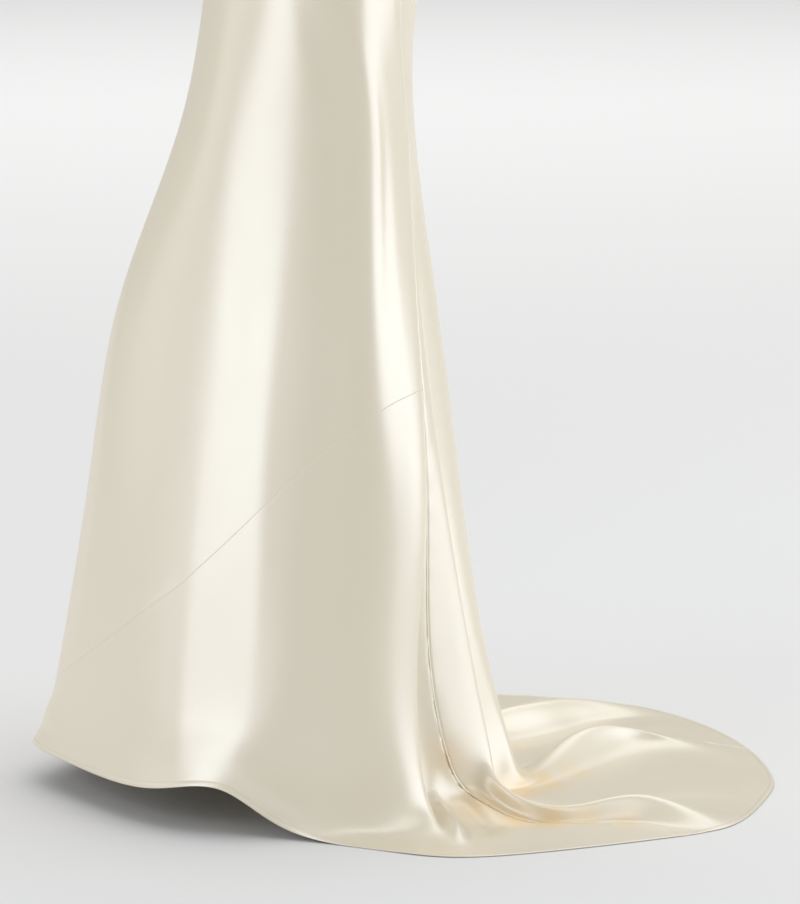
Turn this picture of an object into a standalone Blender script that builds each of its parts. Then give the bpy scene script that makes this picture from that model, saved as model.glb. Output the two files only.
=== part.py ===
# Wedding dress: bias cut satin gown with a sweep train, in its worn form.
# Metres. +Z is up, the front faces -Y, the train lies towards +Y, the wearer's left is +X.
# The origin is between the tops of the two shoulder straps. The floor is FLOOR_DROP below it.
import bpy
import numpy as np

FLOOR_DROP = 1.500
CLOTH = 0.0015
SEAM_GAP = 0.0004
STRAP_WIDTH = 0.010
EDGE_COLUMN = 0.0024
SEAM_FOLD = 8
CENTRE_FOLD = 14.5

# Body of the gown above the fold table: sections at heights above the floor.
# height, front depth, back depth, half width, squareness, y of the widest place
RINGS = (
    (1.370, 0.100, 0.070, 0.132, 2.0, 0.000),
    (1.260, 0.136, 0.088, 0.150, 2.1, 0.000),
    (1.180, 0.106, 0.084, 0.137, 2.1, 0.000),
    (1.090, 0.090, 0.080, 0.122, 2.1, 0.000),
    (1.000, 0.097, 0.104, 0.150, 2.1, 0.010),
    (0.920, 0.101, 0.126, 0.178, 2.2, 0.020),
    (0.834, 0.109, 0.115, 0.187, 2.3, 0.030),
    (0.706, 0.134, 0.112, 0.187, 2.3, 0.032),
)
# The folds turn from their places round the hip to their places round the thigh between these.
HIP_HEIGHT = 1.000
THIGH_HEIGHT = 0.706

# Top edge of the bodice: turn in degrees round from the centre front, height above the floor.
TOP_EDGE = (
    (0, 1.326),
    (34, 1.346),
    (60, 1.306),
    (90, 1.264),
    (130, 1.250),
    (180, 1.232),
)

# Hanging part of each fold: the grid columns up to the next fold, its place round the hip and the
# thigh in degrees, then its plan position at three heights, x to the wearer's left, y to the train.
HANG_HEIGHTS = (0.530, 0.330, 0.120)
# name, columns, turn at the hip, turn at the thigh, x and y at 0.53, at 0.33 and at 0.12
FOLDS = (
    ("front", 4, 0, 0, 0.000, -0.197, 0.000, -0.234, 0.000, -0.270),
    ("left_front_dip", 4, 24, 28, 0.085, -0.172, 0.105, -0.205, 0.110, -0.236),
    ("left_front_ridge", 4, 49, 55, 0.165, -0.095, 0.192, -0.122, 0.208, -0.150),
    ("left_side_dip", 3, 69, 81, 0.198, -0.020, 0.231, -0.040, 0.256, -0.060),
    ("left_side", 3, 84, 103, 0.204, 0.030, 0.238, 0.018, 0.264, -0.006),
    ("left_side_ridge", 4, 98, 126, 0.194, 0.076, 0.234, 0.076, 0.263, 0.064),
    ("left_column_edge", 3, 110, 143, 0.150, 0.107, 0.202, 0.118, 0.232, 0.109),
    ("left_column_return", 2, 114, 147, 0.138, 0.110, 0.174, 0.113, 0.202, 0.102),
    ("left_seam_valley", 2, 118, 151, 0.127, 0.112, 0.159, 0.123, 0.183, 0.131),
    ("left_back_near", 2, 122, 153, 0.116, 0.115, 0.147, 0.134, 0.169, 0.155),
    ("left_back_ridge", 2, 127, 156, 0.103, 0.115, 0.133, 0.1405, 0.150, 0.176),
    ("left_back_behind", 3, 133, 160, 0.086, 0.112, 0.112, 0.131, 0.128, 0.164),
    ("left_back_valley", 4, 141, 165, 0.062, 0.112, 0.084, 0.127, 0.100, 0.154),
    ("centre_back_near", 3, 157, 172, 0.033, 0.127, 0.052, 0.149, 0.070, 0.180),
    ("centre_back_ridge", 4, 172, 180, 0.002, 0.134, 0.016, 0.160, 0.040, 0.194),
    ("centre_back_far", 3, 188, 188, -0.028, 0.128, -0.022, 0.149, -0.006, 0.178),
    ("right_back_valley", 3, 205, 195, -0.058, 0.114, -0.058, 0.126, -0.056, 0.146),
    ("right_back_behind", 2, 218, 200, -0.082, 0.113, -0.092, 0.130, -0.098, 0.156),
    ("right_back_ridge", 2, 227, 204, -0.102, 0.114, -0.122, 0.138, -0.138, 0.168),
    ("right_back_near", 2, 235, 207, -0.112, 0.112, -0.134, 0.129, -0.152, 0.150),
    ("right_seam_valley", 2, 242, 210, -0.122, 0.110, -0.141, 0.119, -0.154, 0.127),
    ("right_column_return", 3, 246, 214, -0.136, 0.106, -0.162, 0.106, -0.188, 0.089),
    ("right_column_edge", 4, 250, 219, -0.153, 0.102, -0.202, 0.108, -0.236, 0.094),
    ("right_side_ridge", 3, 262, 235, -0.190, 0.072, -0.233, 0.060, -0.262, 0.042),
    ("right_side", 3, 276, 257, -0.203, 0.026, -0.239, 0.010, -0.264, -0.016),
    ("right_side_dip", 4, 291, 279, -0.197, -0.024, -0.231, -0.048, -0.255, -0.070),
    ("right_front_ridge", 4, 311, 305, -0.164, -0.098, -0.191, -0.126, -0.208, -0.156),
    ("right_front_dip", 4, 336, 332, -0.085, -0.174, -0.105, -0.207, -0.110, -0.238),
)

# Foot of each fold: where it nears the floor, where it lands or hangs just above it, three places
# on its run over the floor, and its hem. Each is x, y and height above the floor.
FEET = (
    (0.000, -0.277, 0.091, 0.000, -0.284, 0.073, 0.000, -0.287, 0.062,
     0.000, -0.292, 0.052, 0.000, -0.295, 0.046, 0.000, -0.298, 0.041),
    (0.108, -0.241, 0.090, 0.106, -0.245, 0.072, 0.105, -0.248, 0.061,
     0.103, -0.251, 0.050, 0.101, -0.253, 0.044, 0.099, -0.254, 0.039),
    (0.213, -0.154, 0.093, 0.217, -0.157, 0.074, 0.219, -0.159, 0.064,
     0.222, -0.161, 0.053, 0.224, -0.162, 0.047, 0.226, -0.163, 0.042),
    (0.260, -0.072, 0.093, 0.263, -0.078, 0.077, 0.264, -0.081, 0.068,
     0.265, -0.085, 0.058, 0.266, -0.087, 0.053, 0.267, -0.089, 0.049),
    (0.268, -0.010, 0.075, 0.272, -0.014, 0.049, 0.275, -0.017, 0.036,
     0.276, -0.019, 0.023, 0.278, -0.021, 0.016, 0.279, -0.022, 0.010),
    (0.272, 0.066, 0.054, 0.281, 0.068, 0.025, 0.289, 0.070, 0.011,
     0.301, 0.073, 0.005, 0.314, 0.077, 0.002, 0.330, 0.081, 0.001),
    (0.248, 0.115, 0.053, 0.265, 0.124, 0.025, 0.283, 0.132, 0.013,
     0.306, 0.141, 0.005, 0.329, 0.149, 0.002, 0.354, 0.156, 0.001),
    (0.214, 0.112, 0.036, 0.233, 0.131, 0.012, 0.254, 0.152, 0.005,
     0.278, 0.180, 0.002, 0.303, 0.212, 0.001, 0.330, 0.248, 0.001),
    (0.184, 0.149, 0.050, 0.188, 0.176, 0.020, 0.214, 0.222, 0.003,
     0.224, 0.290, 0.002, 0.244, 0.344, 0.001, 0.270, 0.384, 0.001),
    (0.174, 0.170, 0.056, 0.182, 0.188, 0.024, 0.203, 0.225, 0.005,
     0.213, 0.285, 0.002, 0.214, 0.343, 0.002, 0.257, 0.405, 0.001),
    (0.161, 0.188, 0.060, 0.185, 0.199, 0.034, 0.201, 0.233, 0.018,
     0.198, 0.291, 0.018, 0.193, 0.351, 0.023, 0.240, 0.426, 0.001),
    (0.146, 0.181, 0.036, 0.158, 0.201, 0.008, 0.172, 0.246, 0.003,
     0.172, 0.302, 0.003, 0.160, 0.367, 0.002, 0.196, 0.453, 0.001),
    (0.120, 0.172, 0.028, 0.124, 0.198, 0.006, 0.122, 0.262, 0.002,
     0.100, 0.330, 0.002, 0.094, 0.400, 0.002, 0.112, 0.482, 0.001),
    (0.078, 0.199, 0.040, 0.084, 0.222, 0.008, 0.006, 0.279, 0.003,
     -0.086, 0.342, 0.003, -0.096, 0.404, 0.002, 0.020, 0.498, 0.001),
    (0.056, 0.213, 0.048, 0.058, 0.231, 0.016, -0.016, 0.262, 0.018,
     -0.108, 0.319, 0.029, -0.132, 0.400, 0.010, -0.068, 0.493, 0.001),
    (0.012, 0.198, 0.036, -0.002, 0.214, 0.010, -0.038, 0.240, 0.005,
     -0.128, 0.298, 0.004, -0.170, 0.388, 0.003, -0.155, 0.476, 0.001),
    (-0.060, 0.164, 0.020, -0.088, 0.196, 0.006, -0.118, 0.240, 0.003,
     -0.180, 0.296, 0.002, -0.230, 0.352, 0.002, -0.236, 0.447, 0.001),
    (-0.108, 0.172, 0.024, -0.142, 0.200, 0.008, -0.176, 0.236, 0.004,
     -0.216, 0.280, 0.003, -0.262, 0.326, 0.002, -0.293, 0.415, 0.001),
    (-0.150, 0.184, 0.048, -0.180, 0.202, 0.030, -0.206, 0.228, 0.030,
     -0.246, 0.268, 0.028, -0.288, 0.312, 0.020, -0.333, 0.378, 0.001),
    (-0.166, 0.164, 0.036, -0.200, 0.184, 0.010, -0.232, 0.208, 0.004,
     -0.270, 0.244, 0.003, -0.316, 0.282, 0.002, -0.360, 0.335, 0.001),
    (-0.168, 0.140, 0.034, -0.204, 0.158, 0.010, -0.240, 0.176, 0.003,
     -0.285, 0.204, 0.002, -0.330, 0.236, 0.001, -0.384, 0.284, 0.001),
    (-0.206, 0.100, 0.034, -0.236, 0.118, 0.012, -0.268, 0.138, 0.004,
     -0.308, 0.163, 0.002, -0.351, 0.190, 0.001, -0.400, 0.224, 0.001),
    (-0.250, 0.098, 0.052, -0.270, 0.104, 0.024, -0.290, 0.111, 0.012,
     -0.322, 0.123, 0.005, -0.358, 0.138, 0.002, -0.397, 0.154, 0.001),
    (-0.268, 0.042, 0.053, -0.276, 0.043, 0.024, -0.284, 0.045, 0.011,
     -0.298, 0.049, 0.005, -0.318, 0.056, 0.002, -0.344, 0.064, 0.001),
    (-0.268, -0.020, 0.075, -0.272, -0.024, 0.049, -0.275, -0.027, 0.036,
     -0.277, -0.029, 0.023, -0.279, -0.031, 0.015, -0.280, -0.032, 0.010),
    (-0.259, -0.080, 0.093, -0.261, -0.086, 0.076, -0.262, -0.089, 0.066,
     -0.263, -0.093, 0.055, -0.263, -0.095, 0.050, -0.264, -0.097, 0.044),
    (-0.212, -0.160, 0.093, -0.216, -0.163, 0.076, -0.218, -0.165, 0.066,
     -0.221, -0.167, 0.055, -0.223, -0.168, 0.049, -0.225, -0.169, 0.043),
    (-0.108, -0.242, 0.091, -0.106, -0.246, 0.073, -0.105, -0.249, 0.062,
     -0.103, -0.252, 0.051, -0.101, -0.254, 0.045, -0.099, -0.255, 0.039),
)
# Length down the cloth from the last height to each of a foot's six places.
FOOT_RUNS = (0.075, 0.140, 0.190, 0.255, 0.315, 0.375)

# Diagonal piecing seam over the left front: fold place round the skirt, height above the floor.
# It starts at the left side-back seam and runs off the hem to the right of the centre front.
PIECING = (
    (-1.10, 0.041),
    (0.00, 0.104),
    (1.00, 0.162),
    (2.00, 0.249),
    (3.00, 0.341),
    (4.00, 0.396),
    (5.00, 0.433),
    (6.00, 0.446),
    (8.00, 0.442),
)

# Rows of the grid down the gown: one step for each gap between the sections above.
ROWS_PER_STEP = (1, 2, 2, 2, 1, 2, 2, 3, 3, 4, 2, 3, 2, 3, 2, 2)

# Shoulder strap: x, y and height above the floor along it, over the shoulder from the front.
STRAP = (
    (0.0840, -0.0880, 1.3900),
    (0.0900, -0.0640, 1.4560),
    (0.0940, -0.0260, 1.4930),
    (0.0950, 0.0080, 1.4975),
    (0.0930, 0.0420, 1.4640),
    (0.0880, 0.0680, 1.4000),
    (0.0820, 0.0790, 1.3200),
)
# Turns in degrees where the strap is sewn to the top edge, in front and at the back.
STRAP_FRONT = 34.0
STRAP_BACK = 132.0
STRAP_ROWS = 29


def spline_weights(knots, at, closed=False):
    """Share of each knot's point in a smooth curve, natural or closed, at the places asked."""
    knots = np.asarray(knots, float)
    step = np.diff(knots)
    count = len(knots) - (1 if closed else 0)
    matrix = np.zeros((count, count))
    right = np.zeros((count, count))
    for i in range(count):
        if not closed and i in (0, count - 1):
            matrix[i, i] = 1.0
            continue
        before = step[i - 1]
        after = step[i]
        matrix[i, i - 1] += before
        matrix[i, i] += 2.0 * (before + after)
        matrix[i, (i + 1) % count] += after
        right[i, i - 1] += 6.0 / before
        right[i, i] -= 6.0 / before + 6.0 / after
        right[i, (i + 1) % count] += 6.0 / after
    bend = np.linalg.solve(matrix, right)
    at = np.asarray(at, float)
    if closed:
        at = (at - knots[0]) % (knots[-1] - knots[0]) + knots[0]
    place = np.clip(np.searchsorted(knots, at, side="right") - 1, 0, len(step) - 1)
    h = step[place]
    a = (knots[place + 1] - at) / h
    b = (at - knots[place]) / h
    after = (place + 1) % count
    share = (a ** 3 - a)[:, None] * bend[place] + (b ** 3 - b)[:, None] * bend[after]
    share *= (h * h / 6.0)[:, None]
    rows = np.arange(len(at))
    share[rows, place] += a
    share[rows, after] += b
    return share


def spline(knots, points, at):
    """Smooth open curve through points at the given knots, at the places asked."""
    return spline_weights(knots, at) @ np.asarray(points, float)


def ring_point(turn, front, back, half, square, middle):
    """Point of a rounded section at a turn from the centre front."""
    angle = np.radians(turn)
    c = -np.cos(angle)
    s = np.sin(angle)
    depth = back - middle if c > 0.0 else front + middle
    x = half * np.sign(s) * abs(s) ** (2.0 / square)
    y = middle + depth * np.sign(c) * abs(c) ** (2.0 / square)
    return x, y


def guide_points():
    """Rows of points down each fold, from the top ring to the hem."""
    guides = []
    for fold, foot in zip(FOLDS, FEET):
        points = []
        for height, *section in RINGS:
            share = (HIP_HEIGHT - height) / (HIP_HEIGHT - THIGH_HEIGHT)
            turn = fold[2] + (fold[3] - fold[2]) * min(max(share, 0.0), 1.0)
            x, y = ring_point(turn, *section)
            points.append((x, y, height))
        for i, height in enumerate(HANG_HEIGHTS):
            points.append((fold[4 + 2 * i], fold[5 + 2 * i], height))
        for i in range(6):
            points.append(foot[3 * i:3 * i + 3])
        guides.append(points)
    return np.array(guides)


GUIDES = guide_points()
FOLD_COUNT = len(FOLDS)
# Length down the gown at each section, shared by all folds so that the rows stay level.
LEVELS = [RINGS[0][0] - ring[0] for ring in RINGS]
LEVELS += [RINGS[0][0] - height for height in HANG_HEIGHTS]
LEVELS += [LEVELS[-1] + run for run in FOOT_RUNS]
HEM = LEVELS[-1]
# Place of each fold round the gown: closer folds get a shorter step, by the root of their distance.
GAPS = np.linalg.norm(np.roll(GUIDES, -1, axis=0) - GUIDES, axis=2)[:, len(RINGS):].mean(axis=1)
ROUND = np.concatenate([[0.0], np.cumsum(np.sqrt(GAPS))])


def gown_points(folds, lengths):
    """Points of the cloth's middle at places round (in folds) and down (in metres)."""
    places = np.interp(np.asarray(folds) % FOLD_COUNT, range(FOLD_COUNT + 1), ROUND)
    round_share = spline_weights(ROUND, places, closed=True)
    down_share = spline_weights(LEVELS, lengths)
    along = np.einsum("nl,klc->nkc", down_share, GUIDES)
    out = np.einsum("nk,nkc->nc", round_share, along)
    out[:, 2] = np.maximum(out[:, 2], CLOTH * 0.5 + 0.0002)
    return out


def level_at(fold, height):
    """Length down the gown where the fold place is at a height above the floor."""
    lengths = np.linspace(0.0, HEM, 400)
    heights = gown_points(np.full(400, fold), lengths)[:, 2]
    below = np.nonzero(heights <= height)[0]
    if len(below) == 0:
        return HEM
    i = max(int(below[0]), 1)
    high = heights[i - 1]
    low = heights[i]
    return float(lengths[i - 1] + (high - height) / max(high - low, 1e-9) * (lengths[i] - lengths[i - 1]))


def turn_at(fold):
    turns = [row[2] for row in FOLDS] + [360]
    fold = float(fold) % FOLD_COUNT
    return float(np.interp(fold, range(FOLD_COUNT + 1), turns))


def top_length(fold):
    """Length down the gown of the bodice's top edge at a fold place."""
    turn = turn_at(fold)
    turn = 360.0 - turn if turn > 180.0 else turn
    turns = [row[0] for row in TOP_EDGE]
    height = spline(turns, [[row[1]] for row in TOP_EDGE], [turn])[0][0]
    return level_at(fold, float(height))


def seam_length(fold):
    """Length down the gown of the diagonal piecing seam at a fold place."""
    places = [row[0] for row in PIECING]
    if fold <= places[0]:
        return HEM
    height = spline(places, [[row[1]] for row in PIECING], [fold])[0][0]
    return level_at(fold, float(height))


def make_material(name, colour):
    material = bpy.data.materials.new(name)
    material.use_nodes = True
    shader = material.node_tree.nodes["Principled BSDF"]
    shader.inputs["Base Color"].default_value = colour
    shader.inputs["Roughness"].default_value = 0.35
    material.diffuse_color = colour
    return material


def cloth_panel(name, points, rows, columns, material):
    """Grid of points made a sheet, with the cloth's thickness about its middle."""
    faces = []
    for r in range(rows - 1):
        for c in range(columns - 1):
            a = r * columns + c
            faces.append((a, a + columns, a + columns + 1, a + 1))
    mesh = bpy.data.meshes.new(name)
    mesh.from_pydata([tuple(p) for p in points], [], faces)
    mesh.update()
    mesh.shade_smooth()
    mesh.materials.append(material)
    panel = bpy.data.objects.new(name, mesh)
    GOWN.objects.link(panel)
    wall = panel.modifiers.new("Wall", "SOLIDIFY")
    wall.thickness = CLOTH
    wall.offset = 0.0
    wall.use_even_offset = True
    wall.use_rim = True
    return panel


def row_fractions():
    """Share of the way down at each row, closer together round the foot of the skirt."""
    marks = [0.0]
    for i, steps in enumerate(ROWS_PER_STEP):
        for k in range(steps):
            marks.append(LEVELS[i] + (LEVELS[i + 1] - LEVELS[i]) * (k + 1) / steps)
    return np.array(marks) / HEM


def seam_lines(fold, reach):
    """A seam's line and the line of the column beside it, straight between the rows of the gown."""
    down = top_length(fold) + (HEM - top_length(fold)) * row_fractions()
    edge = gown_points(np.full(len(down), fold), down)
    width = np.linalg.norm(gown_points(np.full(len(down), fold + 0.1 * reach), down) - edge, axis=1)
    share = np.minimum(EDGE_COLUMN / (10.0 * width), 1.0)
    beside = gown_points(fold + reach * share, down)

    return down, edge, beside


def on_line(lengths, down, line):
    """Points on a seam's line; each of its own points takes the nearest of the panel's rows."""
    lengths = lengths.copy()
    for place in down:
        nearest = int(np.abs(lengths - place).argmin())
        if 0 < nearest < len(lengths) - 1:
            lengths[nearest] = place
    return np.stack([np.interp(lengths, down, line[:, k]) for k in range(3)], 1)


def gown_panel(name, first, last, material, top=None, bottom=None, marks=None):
    """Panel between two fold places, from a top line to a bottom line down the gown."""
    folds = [first]
    for fold in range(int(np.floor(first)), int(np.ceil(last))):
        columns = FOLDS[fold % FOLD_COUNT][1]
        folds += [fold + (k + 1) / columns for k in range(columns)]
    folds = np.array(sorted({round(f, 6) for f in folds if first <= f <= last}))
    inside = 0.4 * np.array([folds[1] - first, folds[-2] - last])
    folds = np.insert(folds, [1, len(folds) - 1], [first, last])
    count = len(folds)
    marks = row_fractions() if marks is None else marks
    tops = np.array([top(f) for f in folds])
    ends = np.array([bottom(f) if bottom else HEM for f in folds])
    lengths = tops[None, :] + (ends - tops)[None, :] * marks[:, None]
    grid = np.broadcast_to(folds[None, :], lengths.shape)
    points = gown_points(grid.ravel(), lengths.ravel())
    points = points.reshape(len(marks), count, 3)
    # The panel's two side edges stand half a seam gap inside the line of the seam.
    for edge, inner, fold, reach in ((0, 1, first, inside[0]), (-1, -2, last, inside[1])):
        down, seam, beside = seam_lines(fold, reach)
        points[:, edge] = on_line(lengths[:, edge], down, seam)
        points[:, inner] = on_line(lengths[:, inner], down, beside)
        along = points[:, inner] - points[:, edge]
        size = np.linalg.norm(along, axis=1)[:, None]
        points[:, edge] += along / size * SEAM_GAP * 0.5
    if bottom is not None:
        along = points[-2] - points[-1]
        size = np.linalg.norm(along, axis=1)[:, None]
        seam = ends < HEM - 1e-6
        points[-1][seam] += (along / size * SEAM_GAP * 0.5)[seam]
    points[:, :, 2] -= FLOOR_DROP
    return cloth_panel(name, points.reshape(-1, 3), len(marks), count, material)


for item in list(bpy.data.objects):
    bpy.data.objects.remove(item)

GOWN = bpy.data.collections.new("wedding_dress")
bpy.context.scene.collection.children.link(GOWN)

# Front, upper part: bodice and skirt front round to both side-back seams
upper = gown_panel(
    "front_upper", -SEAM_FOLD, SEAM_FOLD,
    make_material("satin_front_upper", (0.87, 0.85, 0.79, 1.0)),
    top=top_length, bottom=seam_length)

# Front, lower part: corner piece below the diagonal seam
# Its rows are those of the back panel it is sewn to, below the end of the diagonal seam.
seam_end = seam_length(SEAM_FOLD)
side_top = top_length(SEAM_FOLD)
rows_down = side_top + (HEM - side_top) * row_fractions()
rows_below = rows_down[rows_down > seam_end + 0.004]
low_rows = np.concatenate([[0.0], (rows_below - seam_end) / (HEM - seam_end)])


def below_seam(fold):
    return seam_length(fold) + SEAM_GAP * 0.5


lower = gown_panel(
    "front_lower", PIECING[0][0] + 0.10, SEAM_FOLD,
    make_material("satin_front_lower", (0.86, 0.84, 0.78, 1.0)),
    top=below_seam, marks=low_rows)

# Back halves: from each side-back seam to the centre back seam, with half of the train
left = gown_panel(
    "back_left", SEAM_FOLD, CENTRE_FOLD,
    make_material("satin_back_left", (0.88, 0.86, 0.80, 1.0)),
    top=top_length)
right = gown_panel(
    "back_right", CENTRE_FOLD, FOLD_COUNT - SEAM_FOLD,
    make_material("satin_back_right", (0.85, 0.83, 0.77, 1.0)),
    top=top_length)


def fold_at(turn):
    """Fold place of a turn in degrees round from the centre front."""
    return float(np.interp(turn, [row[2] for row in FOLDS] + [360], range(FOLD_COUNT + 1)))


def edge_points(turn):
    """Three points across the strap's end, a seam gap above the bodice's top edge."""
    middle = fold_at(turn)
    reach = gown_points([middle, middle + 0.05], [top_length(middle)] * 2)
    step = 0.05 * STRAP_WIDTH * 0.5 / np.linalg.norm(reach[1] - reach[0])
    places = [middle + step * k for k in (-1, 0, 1)]
    points = gown_points(places, [top_length(p) for p in places])
    points[:, 2] += SEAM_GAP
    return points


def strap(name, side):
    """Narrow strap over the shoulder, from the front top edge to the back top edge."""
    front = edge_points(STRAP_FRONT)
    back = edge_points(STRAP_BACK)
    at = np.linspace(0.0, len(STRAP) + 1.0, STRAP_ROWS)
    lanes = []
    for k in range(3):
        # The lane nearest the neck at the front is nearest the neck at the back too.
        inner = np.array(STRAP) + np.array([(k - 1) * STRAP_WIDTH * 0.5, 0.0, 0.0])
        path = np.concatenate([front[k:k + 1], inner, back[2 - k:3 - k]])
        lanes.append(spline(np.arange(len(path)), path, at))
    points = np.stack(lanes, 1).reshape(-1, 3)
    points[:, 0] *= side
    points[:, 2] -= FLOOR_DROP
    colour = (0.88, 0.86, 0.80, 1.0)
    return cloth_panel(name, points, STRAP_ROWS, 3, make_material("satin_" + name, colour))


strap("strap_left", 1.0)
strap("strap_right", -1.0)
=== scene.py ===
# %% [markdown]
# # A wedding dress in heavy ivory satin, with a sweep train
# This lesson dresses a plain solid model of a bias cut gown in real cloth. The solids give the
# frame: their size and place are fixed. Each panel is rebuilt here as a fine, thin sheet on the
# same form, with softer folds, pressed seams, a stitched hem and a satin finish.

# %% Load the frame
import math

import bpy
import numpy as np
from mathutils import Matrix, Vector


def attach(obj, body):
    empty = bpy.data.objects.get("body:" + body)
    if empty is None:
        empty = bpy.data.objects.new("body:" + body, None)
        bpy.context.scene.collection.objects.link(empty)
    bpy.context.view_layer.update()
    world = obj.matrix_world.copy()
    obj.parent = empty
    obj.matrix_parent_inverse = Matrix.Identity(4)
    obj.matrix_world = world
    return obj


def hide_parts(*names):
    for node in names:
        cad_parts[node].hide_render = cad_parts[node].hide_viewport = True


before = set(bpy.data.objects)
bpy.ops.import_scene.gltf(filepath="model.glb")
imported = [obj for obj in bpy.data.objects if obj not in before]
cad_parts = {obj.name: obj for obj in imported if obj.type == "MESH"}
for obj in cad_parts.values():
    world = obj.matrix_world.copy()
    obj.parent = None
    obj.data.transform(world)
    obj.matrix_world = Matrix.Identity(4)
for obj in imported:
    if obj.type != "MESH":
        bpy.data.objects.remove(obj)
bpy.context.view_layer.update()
bpy.ops.object.select_all(action="DESELECT")

# %% [markdown]
# ## Sizes
# The floor is 1.5 m below the tops of the straps, where the frame has its origin. Heavy satin is
# about 0.6 mm thick, so the sheets are far thinner than the solids. A hem is turned up twice and
# stitched 6 mm from its edge.

# %% Sizes of the cloth
FLOOR_DROP = 1.500
SATIN = 0.0006
COLUMN_STEP = 0.0072
ROW_STEP = 0.0085
HEM_TURN = 0.006
STITCH_PITCH = 0.0032
SEAM_FOLD = 8
STRAP_WIDTH = 0.010
print("floor", FLOOR_DROP, "m below the strap tops, satin", SATIN, "m thick")

# %% [markdown]
# ## The body of the gown
# The upper part of a gown follows a few rounded sections: bust, waist, hip and thigh. Each row
# gives a section's height above the floor, its depth to the front and the back, its half width,
# and how square it is. The solid model is built on the same sections.

# %% Sections of the body
# height, front depth, back depth, half width, squareness, y of the widest place
RINGS = (
    (1.370, 0.100, 0.070, 0.132, 2.0, 0.000),
    (1.260, 0.136, 0.088, 0.150, 2.1, 0.000),
    (1.180, 0.106, 0.084, 0.137, 2.1, 0.000),
    (1.090, 0.090, 0.080, 0.122, 2.1, 0.000),
    (1.000, 0.097, 0.104, 0.150, 2.1, 0.010),
    (0.920, 0.101, 0.126, 0.178, 2.2, 0.020),
    (0.834, 0.109, 0.115, 0.187, 2.3, 0.030),
    (0.706, 0.134, 0.112, 0.187, 2.3, 0.032),
)
HIP_HEIGHT = 1.000
THIGH_HEIGHT = 0.706
# turn from the centre front in degrees, height
TOP_EDGE = (
    (0, 1.326),
    (34, 1.346),
    (60, 1.306),
    (90, 1.264),
    (130, 1.250),
    (180, 1.232),
)

# %% [markdown]
# ## The folds
# Cloth that flares from the hip falls in flutes: a ridge, a valley, a ridge. A row here is one
# ridge or valley. It says where the fold starts round the hip and the thigh, and where it passes
# three heights of the skirt.

# %% Table of folds
HANG_HEIGHTS = (0.530, 0.330, 0.120)
# name, turn at the hip, turn at the thigh, x and y at 0.53, at 0.33 and at 0.12
FOLDS = (
    ("front", 0, 0, 0.000, -0.197, 0.000, -0.234, 0.000, -0.270),
    ("left_front_dip", 24, 28, 0.085, -0.172, 0.105, -0.205, 0.110, -0.236),
    ("left_front_ridge", 49, 55, 0.165, -0.095, 0.192, -0.122, 0.208, -0.150),
    ("left_side_dip", 69, 81, 0.198, -0.020, 0.231, -0.040, 0.256, -0.060),
    ("left_side", 84, 103, 0.204, 0.030, 0.238, 0.018, 0.264, -0.006),
    ("left_side_ridge", 98, 126, 0.194, 0.076, 0.234, 0.076, 0.263, 0.064),
    ("left_column_edge", 110, 143, 0.150, 0.107, 0.202, 0.118, 0.232, 0.109),
    ("left_column_return", 114, 147, 0.138, 0.110, 0.174, 0.113, 0.202, 0.102),
    ("left_seam_valley", 118, 151, 0.127, 0.112, 0.159, 0.123, 0.183, 0.131),
    ("left_back_near", 122, 153, 0.116, 0.115, 0.147, 0.134, 0.169, 0.155),
    ("left_back_ridge", 127, 156, 0.103, 0.115, 0.133, 0.1405, 0.150, 0.176),
    ("left_back_behind", 133, 160, 0.086, 0.112, 0.112, 0.131, 0.128, 0.164),
    ("left_back_valley", 141, 165, 0.062, 0.112, 0.084, 0.127, 0.100, 0.154),
    ("centre_back_near", 157, 172, 0.033, 0.127, 0.052, 0.149, 0.070, 0.180),
    ("centre_back_ridge", 172, 180, 0.002, 0.134, 0.016, 0.160, 0.040, 0.194),
    ("centre_back_far", 188, 188, -0.028, 0.128, -0.022, 0.149, -0.006, 0.178),
    ("right_back_valley", 205, 195, -0.058, 0.114, -0.058, 0.126, -0.056, 0.146),
    ("right_back_behind", 218, 200, -0.082, 0.113, -0.092, 0.130, -0.098, 0.156),
    ("right_back_ridge", 227, 204, -0.102, 0.114, -0.122, 0.138, -0.138, 0.168),
    ("right_back_near", 235, 207, -0.112, 0.112, -0.134, 0.129, -0.152, 0.150),
    ("right_seam_valley", 242, 210, -0.122, 0.110, -0.141, 0.119, -0.154, 0.127),
    ("right_column_return", 246, 214, -0.136, 0.106, -0.162, 0.106, -0.188, 0.089),
    ("right_column_edge", 250, 219, -0.153, 0.102, -0.202, 0.108, -0.236, 0.094),
    ("right_side_ridge", 262, 235, -0.190, 0.072, -0.233, 0.060, -0.262, 0.042),
    ("right_side", 276, 257, -0.203, 0.026, -0.239, 0.010, -0.264, -0.016),
    ("right_side_dip", 291, 279, -0.197, -0.024, -0.231, -0.048, -0.255, -0.070),
    ("right_front_ridge", 311, 305, -0.164, -0.098, -0.191, -0.126, -0.208, -0.156),
    ("right_front_dip", 336, 332, -0.085, -0.174, -0.105, -0.207, -0.110, -0.238),
)
FOLD_COUNT = len(FOLDS)
print("folds round the gown", FOLD_COUNT)

# %% [markdown]
# Below the last height each fold reaches the floor and runs out over it as part of the train, or
# hangs just clear of it in front. Its foot is followed at six places, from where it nears the
# floor to the hem.

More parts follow.
